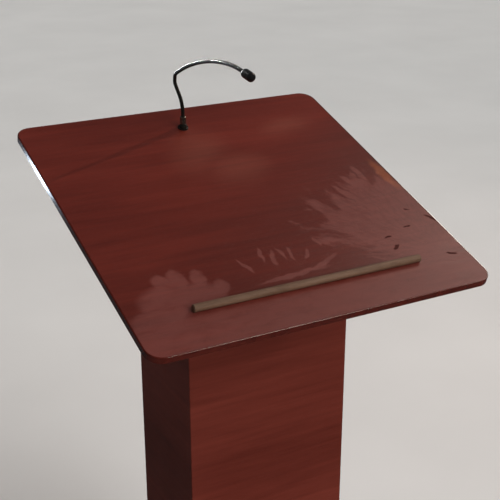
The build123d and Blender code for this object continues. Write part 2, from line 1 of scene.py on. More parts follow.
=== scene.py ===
import json
from math import cos, pi, radians, sin

import bpy
from mathutils import Matrix, Vector, noise


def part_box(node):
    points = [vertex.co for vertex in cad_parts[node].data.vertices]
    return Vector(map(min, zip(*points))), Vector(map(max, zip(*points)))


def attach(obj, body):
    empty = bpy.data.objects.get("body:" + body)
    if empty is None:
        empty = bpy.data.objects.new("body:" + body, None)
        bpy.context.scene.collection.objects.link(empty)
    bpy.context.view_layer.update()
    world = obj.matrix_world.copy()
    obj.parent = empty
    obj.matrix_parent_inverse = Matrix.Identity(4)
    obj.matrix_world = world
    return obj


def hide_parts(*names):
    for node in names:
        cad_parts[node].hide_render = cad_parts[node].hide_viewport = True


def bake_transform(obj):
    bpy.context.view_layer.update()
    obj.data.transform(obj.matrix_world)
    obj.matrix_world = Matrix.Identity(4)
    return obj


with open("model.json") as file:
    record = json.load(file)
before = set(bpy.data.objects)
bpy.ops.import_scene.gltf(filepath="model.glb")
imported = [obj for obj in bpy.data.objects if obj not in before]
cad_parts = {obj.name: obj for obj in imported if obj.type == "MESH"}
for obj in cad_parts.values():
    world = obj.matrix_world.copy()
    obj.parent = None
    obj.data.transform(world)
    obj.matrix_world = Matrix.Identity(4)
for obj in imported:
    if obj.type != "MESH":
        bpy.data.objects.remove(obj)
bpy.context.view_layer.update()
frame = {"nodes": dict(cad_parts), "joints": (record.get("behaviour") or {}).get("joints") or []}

# Looks for the lectern podium: the imported CAD model with finishes, the microphone's flexible neck
# as tube lengths that curve smoothly across its joints, a studio floor, lights and a camera. Lengths
# in metres.

# ---------------------------------------------------------------- places taken from the frame
desk_slope = radians(17.4)
desk_low, desk_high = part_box("desk_edge_band")
desk_width = desk_high.x - desk_low.x
desk_length = 0.622
stop_low, stop_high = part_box("paper_stop")
stop_half_length = (stop_high.x - stop_low.x) / 2
# The dowel's axis: up the slope from the front edge, and above the desk's top.
stop_up_slope = 0.078
stop_above = 0.0053

# The desk's own frame: x across, y up the slope, z square to the top face.
desk_edge = Vector((0, desk_low.y, desk_high.z - desk_length * sin(desk_slope)))
desk_turn = Matrix.Rotation(desk_slope, 4, "X")


def on_desk(across, up_slope, above=0.0):
    """A point given in the desk's own frame."""
    return desk_edge + desk_turn @ Vector((across, up_slope, above))


joints = {joint["name"]: joint for joint in frame["joints"]}


# ---------------------------------------------------------------- camera
# The camera stands to the left of the speaker, measured in desk widths from the front edge.
camera_offset = Vector((-1.2842, -1.9195, 1.1000))
camera_pitch = 68.11
camera_yaw = -28.43
camera_lens = 74.38


def make_camera():
    """The camera at the photograph's angle."""
    data = bpy.data.cameras.new("camera")
    data.lens = camera_lens
    data.sensor_width = 36.0
    camera = bpy.data.objects.new("camera", data)
    bpy.context.scene.collection.objects.link(camera)
    camera.location = desk_edge + camera_offset * desk_width
    camera.rotation_euler = (radians(camera_pitch), 0, radians(camera_yaw))
    bpy.context.scene.camera = camera


# ---------------------------------------------------------------- shader nodes
def linear(red, green, blue):
    """A colour given in display values from 0 to 255, as the shader's linear values."""
    values = [channel / 255 for channel in (red, green, blue)]
    curved = [v / 12.92 if v <= 0.04045 else ((v + 0.055) / 1.055) ** 2.4 for v in values]
    return (*curved, 1.0)


class Finish:
    """A material in the making: each call adds one shader node and gives its output."""

    def __init__(self, name, **constants):
        self.material = bpy.data.materials.new(name)
        self.material.use_nodes = True
        self.tree = self.material.node_tree
        self.shader = self.tree.nodes["Principled BSDF"]
        for socket, value in constants.items():
            self.shader.inputs[socket.replace("_", " ")].default_value = value
        self.place = self.add("ShaderNodeTexCoord", {}, "Object")

    def feed(self, socket, value):
        if isinstance(value, bpy.types.NodeSocket):
            self.tree.links.new(value, socket)
        else:
            socket.default_value = value

    def add(self, kind, inputs, output=0, **settings):
        node = self.tree.nodes.new(kind)
        for setting, value in settings.items():
            setattr(node, setting, value)
        for socket, value in inputs.items():
            self.feed(node.inputs[socket], value)
        return node.outputs[output]

    def math(self, operation, first, second=0.0):
        return self.add("ShaderNodeMath", {0: first, 1: second}, operation=operation)

    def along(self, direction, vector):
        """The vector's length along a direction."""
        return self.add(
            "ShaderNodeVectorMath", {0: vector, 1: direction}, "Value", operation="DOT_PRODUCT"
        )

    def scaled(self, vector, scale):
        return self.add("ShaderNodeMapping", {"Vector": vector, "Scale": scale})

    def within(self, vector, location, rotation=(0, 0, 0), scale=(1, 1, 1)):
        """The vector seen from a frame of its own."""
        sockets = {"Vector": vector, "Location": location, "Rotation": rotation, "Scale": scale}
        return self.add("ShaderNodeMapping", sockets, vector_type="TEXTURE")

    def noise(self, vector, scale, detail=3.0, roughness=0.5, distortion=0.0):
        sockets = {
            "Vector": vector,
            "Scale": scale,
            "Detail": detail,
            "Roughness": roughness,
            "Distortion": distortion,
        }
        return self.add("ShaderNodeTexNoise", sockets, "Fac")

    def cells(self, vector, scale, output="Distance"):
        return self.add("ShaderNodeTexVoronoi", {"Vector": vector, "Scale": scale}, output)

    def remap(self, value, low, high, to_low=0.0, to_high=1.0):
        sockets = {
            "Value": value,
            "From Min": low,
            "From Max": high,
            "To Min": to_low,
            "To Max": to_high,
        }
        return self.add("ShaderNodeMapRange", sockets, interpolation_type="SMOOTHSTEP")

    def mix(self, factor, first, second, blend_type="MIX"):
        """Two colours mixed: the sockets are those of the node's colour form."""
        sockets = {0: factor, 6: first, 7: second}
        return self.add("ShaderNodeMix", sockets, 2, data_type="RGBA", blend_type=blend_type)

    def ramp(self, value, stops):
        colours = self.add("ShaderNodeValToRGB", {0: value})
        elements = colours.node.color_ramp.elements
        while len(elements) < len(stops):
            elements.new(0.5)
        for element, (position, colour) in zip(elements, stops):
            element.position = position
            element.color = colour
        return colours

    def bump(self, height, distance):
        sockets = {"Height": height, "Distance": distance, "Strength": 1.0}
        return self.add("ShaderNodeBump", sockets)

    def done(self, **sockets):
        for socket, value in sockets.items():
            self.feed(self.shader.inputs[socket.replace("_", " ")], value)
        return self.material


# ---------------------------------------------------------------- wood
def grain(finish, place, dark, middle, light):
    """Fine-grained mahogany with its grain along the place's x: colour and height."""
    broad = finish.noise(finish.scaled(place, (1.6, 9, 9)), 1.0, 3.0, 0.55, 0.6)
    streaks = finish.noise(finish.scaled(place, (5, 95, 95)), 1.0, 4.0, 0.6, 0.3)
    threads = finish.noise(finish.scaled(place, (22, 720, 720)), 1.0, 2.0, 0.5)
    pores = finish.noise(finish.scaled(place, (95, 1500, 1500)), 1.0, 1.0, 0.5)
    tone = finish.math("MULTIPLY", broad, 0.53)
    tone = finish.math("ADD", tone, finish.math("MULTIPLY", streaks, 0.35))
    tone = finish.math("ADD", tone, finish.math("MULTIPLY", threads, 0.12))
    colour = finish.ramp(tone, [(0.34, dark), (0.5, middle), (0.66, light)])
    pore = finish.remap(pores, 0.60, 0.72)
    colour = finish.mix(finish.math("MULTIPLY", pore, 0.3), colour, dark)
    height = finish.math("SUBTRACT", finish.math("MULTIPLY", threads, 0.4), pore)
    return colour, height, tone


# Films of hand grease on the desk, their lighter colour partly painted sheen: middle across and up
# the slope, half length, half width and turn in degrees of each print, in metres in the desk's own
# frame.
palm_prints = [
    (-0.226, 0.104, 0.060, 0.049, 14),
    (-0.197, 0.150, 0.028, 0.017, 96),
    (-0.222, 0.146, 0.026, 0.018, 108),
    (-0.165, 0.142, 0.027, 0.014, 84),
    (-0.143, 0.112, 0.026, 0.016, 58),
    (-0.174, 0.106, 0.034, 0.034, 0),
    (-0.262, 0.068, 0.050, 0.036, 0),
]
finger_streaks = [
    (-0.080, 0.150, 0.024, 0.0040, 108),
    (-0.043, 0.168, 0.020, 0.0045, 78),
    (-0.027, 0.155, 0.023, 0.0045, 72),
    (-0.010, 0.162, 0.018, 0.0035, 96),
    (0.006, 0.156, 0.020, 0.0040, 84),
    (0.031, 0.150, 0.016, 0.0040, 58),
    (0.064, 0.173, 0.014, 0.0040, 100),
    (-0.015, 0.107, 0.075, 0.0060, 4),
    (0.050, 0.122, 0.034, 0.0060, 22),
]
swipes = [
    (0.120, 0.264, 0.018, 0.0060, 124),
    (0.138, 0.226, 0.036, 0.0060, 136),
    (0.188, 0.280, 0.034, 0.0080, 112),
    (0.214, 0.312, 0.026, 0.0070, 104),
    (0.246, 0.330, 0.030, 0.0075, 96),
    (0.152, 0.146, 0.046, 0.0060, 124),
    (0.182, 0.136, 0.036, 0.0060, 138),
]
# Painted sheen: patches where the colour is lightened to stand for light glancing off the lacquer,
# listed like the prints.
sheen_patches = [
    (-0.012, 0.470, 0.090, 0.062, 60),
    (0.040, 0.400, 0.070, 0.050, 20),
    (0.194, 0.517, 0.070, 0.036, 12),
]
varnish_runs = [
    (0.292, 0.315, 0.056, 0.011, 92),
]
# A hand rests at the right: its film, partly painted sheen, fans out from here.
hand_rest = (0.262, 0.080, 0)
nicks = [
    (0.191, 0.149, 0.0075, 0.0028, 10),
    (0.190, 0.120, 0.0105, 0.0038, 20),
    (0.273, 0.078, 0.0100, 0.0034, 150),
    (0.299, 0.173, 0.0130, 0.0034, 120),
    (0.270, 0.210, 0.0060, 0.0022, 140),
    (0.240, 0.165, 0.0075, 0.0022, 15),
]


# How strongly each mark shows over the wood, from 0 to 1.
grease_and_sheen_strength = 0.175
painted_sheen_strength = 0.09
amber_strength = 0.22
nick_strength = 0.75
# The strip in front of the paper stop is handled all along: its film, partly painted sheen, ends
# between these places.
front_strip_full, front_strip_end = 0.060, 0.082


def nearest_print(finish, place, prints):
    """How far a point is from the nearest print's middle, as a share of the print's size."""
    nearest = 10.0
    for across, up_slope, half_length, half_width, turn in prints:
        inside = finish.within(
            place,
            (across, up_slope, 0),
            (0, 0, radians(turn)),
            (half_length, half_width, 1),
        )
        distance = finish.add("ShaderNodeVectorMath", {0: inside}, "Value", operation="LENGTH")
        nearest = finish.math("MINIMUM", nearest, distance)
    return nearest


def shaken(finish, place, amount, scale):
    """The place moved about by noise, so that shapes drawn with it have ragged edges."""
    drift = finish.add(
        "ShaderNodeTexNoise", {"Vector": place, "Scale": scale, "Detail": 3.0}, "Color"
    )
    centred = finish.add(
        "ShaderNodeVectorMath", {0: drift, 1: (0.5, 0.5, 0.5)}, operation="SUBTRACT"
    )
    moved = finish.add("ShaderNodeVectorMath", {0: centred, "Scale": amount}, operation="SCALE")
    moved = finish.add("ShaderNodeVectorMath", {0: place, 1: moved}, operation="ADD")
    return finish.add(
        "ShaderNodeVectorMath", {0: moved, 1: (1, 1, 0)}, operation="MULTIPLY"
    )


def desk_place(finish):
    return finish.within(finish.place, desk_edge, (desk_slope, 0, 0))


def fanned_grease_and_sheen(finish, place):
    """The film that hands leave on the right, its lighter colour partly painted sheen, with streaks
    that fan out from where they rest.
    """
    spread = finish.within(place, hand_rest)
    radius = finish.add("ShaderNodeVectorMath", {0: spread}, "Value", operation="LENGTH")
    direction = finish.add("ShaderNodeVectorMath", {0: spread}, operation="NORMALIZE")
    # The noise changes fast from one direction to the next and slowly away from the hand.
    turned = finish.add("ShaderNodeVectorMath", {0: direction, "Scale": 7.0}, operation="SCALE")
    drawn_out = finish.add("ShaderNodeVectorMath", {0: spread, "Scale": 13.0}, operation="SCALE")
    fan = finish.add("ShaderNodeVectorMath", {0: turned, 1: drawn_out}, operation="ADD")
    fingers = finish.noise(fan, 1.0, 5.0, 0.62, 0.4)
    up_and_left = finish.along((-0.17, 0.98, 0), direction)
    reach = finish.remap(up_and_left, 0.1, 0.95, 0.095, 0.245)
    ragged_reach = finish.math("MULTIPLY", finish.math("SUBTRACT", fingers, 0.5), 0.34)
    inside = finish.math("SUBTRACT", finish.math("ADD", reach, ragged_reach), radius)
    grease_and_sheen = finish.remap(inside, 0.0, 0.035)
    streaks = finish.remap(finish.noise(fan, 2.3, 4.0, 0.7, 0.3), 0.40, 0.56, 0.55, 1.0)
    return finish.math("MULTIPLY", grease_and_sheen, streaks)


def mahogany_top():
    finish = Finish("desk_mahogany", Specular_IOR_Level=0.4)
    place = desk_place(finish)
    dark = linear(64, 18, 12)
    middle = linear(79, 25, 17)
    light = linear(92, 32, 23)
    colour, height, tone = grain(finish, place, dark, middle, light)

    ragged = shaken(finish, place, 0.014, 52.0)
    hands = nearest_print(finish, ragged, palm_prints + finger_streaks + swipes)
    grease_and_sheen = finish.remap(hands, 0.66, 1.06, 1.0, 0.0)
    grease_and_sheen = finish.math("MAXIMUM", grease_and_sheen, fanned_grease_and_sheen(finish, ragged))
    up_slope = finish.along((0, 1, 0), ragged)
    front_strip = finish.remap(up_slope, front_strip_full, front_strip_end, 1.0, 0.0)
    grease_and_sheen = finish.math("MAXIMUM", grease_and_sheen, front_strip)
    rubbed = finish.noise(finish.scaled(place, (26, 60, 60)), 1.0, 4.0, 0.65, 0.8)
    grease_and_sheen = finish.math("MULTIPLY", grease_and_sheen, finish.remap(rubbed, 0.25, 0.6, 0.6, 1.0))

    # Painted sheen: the colour is lightened in patches to stand for light glancing off the lacquer.
    cloudy = shaken(finish, place, 0.06, 9.0)
    painted_sheen = finish.remap(nearest_print(finish, cloudy, sheen_patches), 0.1, 1.25, 1.0, 0.0)
    painted_sheen_share = finish.math("MULTIPLY", painted_sheen, painted_sheen_strength)
    colour = finish.mix(painted_sheen_share, colour, linear(150, 96, 78))
    # Grease film, partly real and partly painted sheen: it lightens the colour where hands have
    # been.
    grease_and_sheen_share = finish.math("MULTIPLY", grease_and_sheen, grease_and_sheen_strength)
    colour = finish.mix(grease_and_sheen_share, colour, linear(162, 100, 92))
    amber = finish.remap(nearest_print(finish, ragged, varnish_runs), 0.5, 1.1, 1.0, 0.0)
    amber_share = finish.math("MULTIPLY", amber, amber_strength)
    colour = finish.mix(amber_share, colour, linear(178, 98, 40))
    dents = finish.remap(nearest_print(finish, ragged, nicks), 0.7, 1.1, 1.0, 0.0)
    dent_share = finish.math("MULTIPLY", dents, nick_strength)
    colour = finish.mix(dent_share, colour, linear(44, 13, 9))

    roughness = finish.remap(tone, 0.3, 0.7, 0.38, 0.31)
    roughness = finish.math("ADD", roughness, finish.math("MULTIPLY", grease_and_sheen, 0.10))
    roughness = finish.math("ADD", roughness, finish.math("MULTIPLY", dents, 0.5))
    return finish.done(
        Base_Color=colour, Roughness=roughness, Normal=finish.bump(height, 0.00005)
    )


def mahogany_base():
    """The base board's top: the desk's veneer, dulled by dust and shoe scuffs."""
    finish = Finish("base_mahogany", Specular_IOR_Level=0.3)
    dark = linear(60, 18, 11)
    middle = linear(76, 25, 16)
    light = linear(90, 33, 22)
    colour, height, _ = grain(finish, finish.place, dark, middle, light)
    dust = finish.noise(finish.scaled(finish.place, (7, 7, 7)), 1.0, 5.0, 0.62, 0.3)
    scuffs = finish.noise(finish.scaled(finish.place, (14, 110, 20)), 1.0, 3.0, 0.6, 1.2)
    worn = finish.math("MULTIPLY", finish.remap(scuffs, 0.62, 0.78), 0.3)
    colour = finish.mix(finish.remap(dust, 0.45, 0.75, 0.0, 0.14), colour, linear(150, 120, 104))
    colour = finish.mix(worn, colour, linear(128, 78, 62))
    roughness = finish.remap(dust, 0.3, 0.7, 0.42, 0.6)
    return finish.done(
        Base_Color=colour, Roughness=roughness, Normal=finish.bump(height, 0.00006)
    )


def mahogany_panel():
    finish = Finish("column_mahogany", Specular_IOR_Level=0.1)
    # The grain runs level round the column, so x and y both count as along it.
    along = finish.along((1, 1, 0), finish.place)
    across = finish.along((0, 0, 1), finish.place)
    place = finish.add("ShaderNodeCombineXYZ", {0: along, 1: across})
    dark = linear(78, 29, 21)
    middle = linear(92, 37, 28)
    light = linear(104, 44, 34)
    colour, height, _ = grain(finish, place, dark, middle, light)
    wear = finish.noise(finish.scaled(place, (3, 2, 1)), 1.0, 4.0, 0.6, 0.4)
    colour = finish.mix(finish.remap(wear, 0.5, 0.8, 0.0, 0.25), colour, dark)
    roughness = finish.remap(wear, 0.3, 0.7, 0.46, 0.38)
    return finish.done(
        Base_Color=colour, Roughness=roughness, Normal=finish.bump(height, 0.00008)
    )


def edge_moulding():
    finish = Finish("edge_moulding", Specular_IOR_Level=0.4)
    mottle = finish.noise(finish.place, 60.0, 4.0, 0.6)
    scuffs = finish.noise(finish.scaled(finish.place, (40, 40, 900)), 1.0, 3.0, 0.6, 0.5)
    worn = finish.remap(scuffs, 0.62, 0.75)
    colour = finish.ramp(mottle, [(0.3, linear(58, 15, 9)), (0.7, linear(76, 23, 14))])
    colour = finish.mix(finish.math("MULTIPLY", worn, 0.2), colour, linear(150, 86, 66))
    roughness = finish.remap(mottle, 0.3, 0.7, 0.18, 0.26)
    pebble = finish.noise(finish.place, 2600.0, 2.0, 0.5)
    return finish.done(
        Base_Color=colour, Roughness=roughness, Normal=finish.bump(pebble, 0.00003)
    )


def dowel_wood():
    finish = Finish("stop_dowel", Specular_IOR_Level=0.3)
    place = desk_place(finish)
    dark = linear(68, 48, 34)
    middle = linear(97, 73, 57)
    light = linear(118, 92, 74)
    colour, height, tone = grain(finish, place, dark, middle, light)
    handled = finish.noise(finish.scaled(place, (14, 40, 40)), 1.0, 3.0, 0.6, 0.3)
    colour = finish.mix(finish.remap(handled, 0.5, 0.75, 0.0, 0.4), colour, dark)
    # Annual rings show where the dowel is cut off; the cut end's colour is lightened as painted
    # light, with a dark rim of painted shade round its edge.
    round_axis = finish.within(place, (0, stop_up_slope, stop_above))
    flat = finish.add("ShaderNodeVectorMath", {0: round_axis, 1: (0, 1, 1)}, operation="MULTIPLY")
    radius = finish.add("ShaderNodeVectorMath", {0: flat}, "Value", operation="LENGTH")
    rings = finish.math("SINE", finish.math("MULTIPLY", radius, 5200.0))
    # Painted light: the cut end takes the lighter wood colours.
    cut_end_painted_light_and_shade = finish.mix(finish.remap(rings, -1.0, 1.0, 0.0, 0.4), light, middle)
    # Painted shade: a dark rim round the cut end's edge.
    painted_shade_rim = finish.remap(radius, 0.0042, 0.0056)
    cut_end_painted_light_and_shade = finish.mix(finish.math("MULTIPLY", painted_shade_rim, 0.8), cut_end_painted_light_and_shade, linear(52, 38, 28))
    from_middle = finish.math("ABSOLUTE", finish.along((1, 0, 0), place))
    cut = finish.remap(from_middle, stop_half_length - 0.0014, stop_half_length - 0.0004)
    colour = finish.mix(cut, colour, cut_end_painted_light_and_shade)
    return finish.done(
        Base_Color=colour,
        Roughness=finish.remap(tone, 0.3, 0.7, 0.62, 0.50),
        Normal=finish.bump(height, 0.00012),
    )


def core_board():
    finish = Finish("core_chipboard", Specular_IOR_Level=0.2)
    chips = finish.cells(finish.place, 420.0, "Color")
    chip_tone = finish.along((0.4, 0.3, 0.3), chips)
    dust = finish.noise(finish.place, 900.0, 3.0, 0.6)
    chip_part = finish.math("MULTIPLY", chip_tone, 0.6)
    tone = finish.math("ADD", chip_part, finish.math("MULTIPLY", dust, 0.4))
    colour = finish.ramp(
        tone, [(0.2, linear(112, 84, 54)), (0.5, linear(162, 130, 90)), (0.8, linear(196, 168, 126))]
    )
    return finish.done(
        Base_Color=colour,
        Roughness=finish.remap(dust, 0.3, 0.7, 0.75, 0.9),
        Normal=finish.bump(tone, 0.0002),
    )


def inner_timber():
    finish = Finish("inner_pine", Specular_IOR_Level=0.25)
    upright = finish.within(finish.place, (0, 0, 0), (0, radians(90), 0))
    pale = linear(206, 172, 122)
    colour, height, tone = grain(finish, upright, linear(158, 116, 70), linear(188, 148, 98), pale)
    return finish.done(
        Base_Color=colour,
        Roughness=finish.remap(tone, 0.3, 0.7, 0.7, 0.58),
        Normal=finish.bump(height, 0.00015),
    )


def backing_sheet():
    finish = Finish("backing_sheet", Specular_IOR_Level=0.3)
    place = desk_place(finish)
    fibre = finish.noise(finish.scaled(place, (160, 260, 200)), 1.0, 4.0, 0.6)
    cloud = finish.noise(place, 9.0, 3.0, 0.5)
    fibre_part = finish.math("MULTIPLY", fibre, 0.5)
    tone = finish.math("ADD", fibre_part, finish.math("MULTIPLY", cloud, 0.5))
    colour = finish.ramp(tone, [(0.35, linear(58, 34, 27)), (0.65, linear(80, 50, 39))])
    return finish.done(
        Base_Color=colour,
        Roughness=finish.remap(cloud, 0.3, 0.7, 0.5, 0.62),
        Normal=finish.bump(fibre, 0.00006),
    )


# ---------------------------------------------------------------- metal, rubber and plastic
def plated(name, dark, light, rough, smooth):
    """A plated metal with cloudy tone and fine scratches."""
    finish = Finish(name, Metallic=1.0)
    cloud = finish.noise(finish.place, 140.0, 4.0, 0.6)
    scratches = finish.noise(finish.scaled(finish.place, (1, 1, 0.08)), 900.0, 3.0, 0.6, 0.4)
    colour = finish.ramp(cloud, [(0.3, dark), (0.7, light)])
    return finish.done(
        Base_Color=colour,
        Roughness=finish.remap(scratches, 0.3, 0.7, smooth, rough),
        Normal=finish.bump(scratches, 0.00001),
    )


def zinc_steel():
    return plated("zinc_plate", linear(150, 146, 136), linear(196, 192, 184), 0.42, 0.28)


def bright_metal():
    return plated("nickel_plate", linear(128, 120, 108), linear(168, 160, 148), 0.28, 0.16)


def element_metal():
    return plated("capsule_foil", linear(150, 140, 110), linear(186, 176, 146), 0.34, 0.24)


def contact_brass():
    return plated("contact_gold", linear(190, 150, 70), linear(226, 190, 104), 0.28, 0.16)


def lacquered(name, dark, light, rough, smooth, grain_size, depth, coat):
    """A painted or moulded black surface: a fine pebbled coat with rubbed patches."""
    finish = Finish(name, Specular_IOR_Level=0.4, Coat_Weight=coat, Coat_Roughness=0.12)
    pebble = finish.noise(finish.place, grain_size, 2.0, 0.5)
    cloud = finish.noise(finish.place, 90.0, 4.0, 0.6)
    rubbed = finish.remap(cloud, 0.55, 0.75)
    return finish.done(
        Base_Color=finish.ramp(cloud, [(0.3, dark), (0.75, light)]),
        Roughness=finish.remap(rubbed, 0.0, 1.0, rough, smooth),
        Normal=finish.bump(pebble, depth),
    )


def black_metal():
    return lacquered(
        "black_paint", linear(9, 8, 6), linear(22, 19, 14), 0.24, 0.17, 2400.0, 0.00001, 0.1
    )


def capsule_metal():
    return lacquered(
        "capsule_paint", linear(8, 8, 9), linear(20, 19, 19), 0.30, 0.20, 3200.0, 0.00001, 0.6
    )


def black_rubber():
    return lacquered(
        "rubber", linear(20, 20, 21), linear(38, 37, 36), 0.78, 0.62, 2600.0, 0.00006, 0.0
    )


def nylon():
    return lacquered(
        "nylon", linear(26, 26, 28), linear(46, 45, 46), 0.55, 0.42, 1800.0, 0.00003, 0.0
    )


def foam():
    finish = Finish("open_cell_foam", Specular_IOR_Level=0.1, Sheen_Weight=0.3, Sheen_Roughness=0.6)
    pits_and_painted_shade = finish.cells(finish.place, 1500.0)
    # Painted shade: the colour is darker in the cell holes, where shade falls.
    colour = finish.ramp(pits_and_painted_shade, [(0.1, linear(12, 12, 13)), (0.6, linear(44, 43, 43))])
    return finish.done(
        Base_Color=colour,
        Roughness=finish.remap(pits_and_painted_shade, 0.0, 0.6, 0.95, 0.8),
        Normal=finish.bump(pits_and_painted_shade, 0.0003),
    )


finish_makers = {
    "mahogany_top": mahogany_top,
    "mahogany_base": mahogany_base,
    "mahogany_panel": mahogany_panel,
    "backing_sheet": backing_sheet,
    "core_board": core_board,
    "inner_timber": inner_timber,
    "edge_moulding": edge_moulding,
    "dowel_wood": dowel_wood,
    "zinc_steel": zinc_steel,
    "black_metal": black_metal,
    "bright_metal": bright_metal,
    "capsule_metal": capsule_metal,
    "element_metal": element_metal,
    "black_rubber": black_rubber,
    "nylon": nylon,
    "contact_brass": contact_brass,
    "foam": foam,
}


def finish_the_frame():
    """Gives each CAD node the finish of its material slot."""
    finishes = {slot: maker() for slot, maker in finish_makers.items()}
    for node in frame["nodes"].values():
        for material_slot in node.material_slots:
            material_slot.material = finishes[material_slot.material.name]
    frame["nodes"]["base_top_laminate"].material_slots[0].material = finishes["mahogany_base"]
    return finishes


# ---------------------------------------------------------------- flexible neck
neck_radius = 0.0035
rib_pitch = 0.0016
rib_depth = 0.00022
rib_rings = 4
ring_points = 24
joint_run = 0.006

# The centre line in the neck's upright plane, from the swivel's middle: each stretch's length
# and how far it turns towards the speaker, in degrees. Each piece runs between two mid-links.
lower_arc = 0.030 * radians(22.5)
upper_arc = 0.010 * radians(54)
span_arc = 0.500 * radians(11)
tip_arc = 0.286 * radians(13.1)
stub_above_swivel = 0.0129
neck_stretches = [
    (stub_above_swivel, 0),
    (lower_arc, -22.5),
    (joint_run, 0),
    (lower_arc, -22.5),
    (0.026, 0),
    (upper_arc, 54),
    (joint_run, 0),
    (upper_arc, 54),
    (span_arc, 11),
    (joint_run, 0),
    (span_arc, 11),
    (joint_run, 0),
    (tip_arc, 13.1),
    (joint_run, 0),
]


def neck_point(distance):
    """The place and direction on the neck's centre line at a distance from the swivel."""
    swivel = joints["neck_swivel"]["pos_m"]
    place = Vector(swivel)
    heading = 90.0
    left = distance
    for length, turn in neck_stretches:
        part = left if length == 0 else min(left, length)
        share = part / length
        middle = radians(heading + turn * share / 2)
        half_turn = radians(turn * share / 2)
        chord = part if turn == 0 or share == 0 else part * sin(half_turn) / half_turn
        place = place + chord * Vector((0, cos(middle), sin(middle)))
        heading += turn * share
        left -= part
        if left <= 0:
            break
    direction = Vector((0, cos(radians(heading)), sin(radians(heading))))
    return place + direction * max(left, 0), direction


def joint_distance(index):
    """How far along the neck the middle of a joint's straight run is."""
    return sum(length for length, _ in neck_stretches[:index]) + joint_run / 2


def tube(name, start, end, material):
    """A closed tube round the neck's centre line, with the fine ribs of its wound strip."""
    rings = max(2, round((end - start) / rib_pitch * rib_rings))
    vertices = []
    for ring in range(rings + 1):
        distance = start + (end - start) * ring / rings
        centre, direction = neck_point(distance)
        outward = Vector((1, 0, 0)).cross(direction)
        rib = cos(2 * pi * distance / rib_pitch)
        radius = neck_radius - rib_depth * (0.5 - 0.5 * rib)
        for point in range(ring_points):
            angle = 2 * pi * point / ring_points
            vertices.append(
                centre + radius * (cos(angle) * Vector((1, 0, 0)) + sin(angle) * outward)
            )
    faces = []
    for ring in range(rings):
        for point in range(ring_points):
            after = (point + 1) % ring_points
            low = ring * ring_points
            high = low + ring_points
            faces.append((low + point, low + after, high + after, high + point))
    faces.append(tuple(reversed(range(ring_points))))
    faces.append(tuple(range(rings * ring_points, (rings + 1) * ring_points)))
    mesh = bpy.data.meshes.new(name)
    mesh.from_pydata(vertices, [], faces)
    mesh.materials.append(material)
    for polygon in mesh.polygons:
        polygon.use_smooth = len(polygon.vertices) == 4
    piece = bpy.data.objects.new(name, mesh)
    bpy.context.scene.collection.objects.link(piece)
    return piece


# The tube starts this far below the swivel's middle.
tube_start = -0.008


def make_neck(material):
    """Five lengths of the neck, each curving across one joint."""
    lower, upper, rear, front, capsule = [joint_distance(index) for index in (2, 6, 9, 11, 13)]
    # Each length's name, its node, the bodies before and after its joint, the joint's place
    # along the neck, and how far the bend reaches to either side of it.
    lengths = [
        ("neck_tube_base", "neck_stub", "neck_base", "neck_lower", lower, 0.012),
        ("neck_tube_lean", "neck_lower_link", "neck_lower", "neck_rear", upper, 0.012),
        ("neck_tube_rear", "neck_rear_link", "neck_rear", "neck_front", rear, 0.030),
        ("neck_tube_front", "neck_front_link", "neck_front", "neck_tip", front, 0.022),
        ("neck_tube_tip", "neck_tip_link", "neck_tip", "capsule", capsule, 0.018),
    ]
    cuts = [
        tube_start,
        (lower + upper) / 2,
        (upper + rear) / 2,
        (rear + front) / 2,
        (front + capsule) / 2,
        capsule + joint_run / 2,
    ]
    pieces = []
    for index, (name, node, before, after, joint, reach) in enumerate(lengths):
        piece = tube(name, cuts[index], cuts[index + 1], material)
        pieces.append(piece)
        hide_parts(node)
        start = neck_point(joint - reach)[0]
        end = neck_point(min(joint + reach, cuts[-1]))[0]
        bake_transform(piece)
    return pieces


# ---------------------------------------------------------------- foam behind the grille
foam_voxel = 0.00035
foam_pit_depth = 0.00022
foam_cells_per_metre = 1100


def make_foam_liner(material):
    """The foam plug behind the grille: its outside is pitted with open cells."""
    mesh = frame["nodes"]["grille_foam"].data.copy()
    piece = bpy.data.objects.new("foam_liner", mesh)
    bpy.context.scene.collection.objects.link(piece)
    remesh = piece.modifiers.new("even_faces", "REMESH")
    remesh.mode = "VOXEL"
    remesh.voxel_size = foam_voxel
    remesh.use_smooth_shade = True
    graph = bpy.context.evaluated_depsgraph_get()
    even = bpy.data.meshes.new_from_object(piece.evaluated_get(graph))
    piece.modifiers.remove(remesh)
    piece.data = even
    for vertex in even.vertices:
        pit = foam_pit_depth * abs(noise.cell(vertex.co * foam_cells_per_metre))
        vertex.co = vertex.co - vertex.normal * pit
    even.materials.clear()
    even.materials.append(material)
    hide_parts("grille_foam")
    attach(piece, "capsule")


# ---------------------------------------------------------------- floor and lights
def floor_finish():
    finish = Finish("studio_floor", Specular_IOR_Level=0.1)
    cloud = finish.noise(finish.place, 1.5, 3.0, 0.5)
    colour = finish.ramp(cloud, [(0.3, linear(212, 210, 207)), (0.7, linear(218, 216, 213))])
    return finish.done(Base_Color=colour, Roughness=finish.remap(cloud, 0.3, 0.7, 0.8, 0.9))


floor_reach = 60.0


def make_floor():
    corners = [
        (x * floor_reach, y * floor_reach, 0) for x, y in ((-1, -1), (1, -1), (1, 1), (-1, 1))
    ]
    mesh = bpy.data.meshes.new("studio_floor")
    mesh.from_pydata(corners, [], [(0, 1, 2, 3)])
    mesh.materials.append(floor_finish())
    floor = bpy.data.objects.new("studio_floor", mesh)
    bpy.context.scene.collection.objects.link(floor)
    floor.visible_glossy = False


def aim(light_object, place, target):
    light_object.location = place
    facing = Vector(target) - Vector(place)
    light_object.rotation_euler = facing.to_track_quat("-Z", "Y").to_euler()


def add_light(name, data):
    """A light that shows only by what it lights."""
    light = bpy.data.objects.new(name, data)
    light.visible_camera = False
    bpy.context.scene.collection.objects.link(light)
    return light


